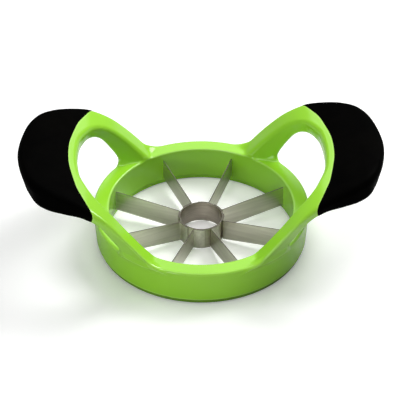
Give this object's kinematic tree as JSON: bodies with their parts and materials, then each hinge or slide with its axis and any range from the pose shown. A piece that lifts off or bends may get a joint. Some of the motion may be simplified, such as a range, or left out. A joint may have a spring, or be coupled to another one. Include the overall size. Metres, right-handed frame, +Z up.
{
  "type": "apple slicer",
  "caption": "Round hand-pushed apple slicer: a ring with radial steel blades and a core tube, and a raised loop handle with a soft grip on each side.",
  "frame": {"origin": "on the surface the ring stands on, under the middle of the ring", "axes": "+Z up along the ring's axis, +X towards the right handle"},
  "size_m": [0.2, 0.1206, 0.0637],
  "materials": {
    "green_plastic": "glossy moulded plastic",
    "black_rubber": "matte soft-touch rubber",
    "blade_steel": "brushed stainless strip"
  },
  "bodies": {
    "root": {"frame": "green_plastic", "base_ring": "green_plastic", "right_grip": "black_rubber", "left_grip": "black_rubber", "core_tube": "blade_steel", "blade_1": "blade_steel", "blade_2": "blade_steel", "blade_3": "blade_steel", "blade_4": "blade_steel", "blade_5": "blade_steel", "blade_6": "blade_steel", "blade_7": "blade_steel", "blade_8": "blade_steel"}
  },
  "joints": []
}
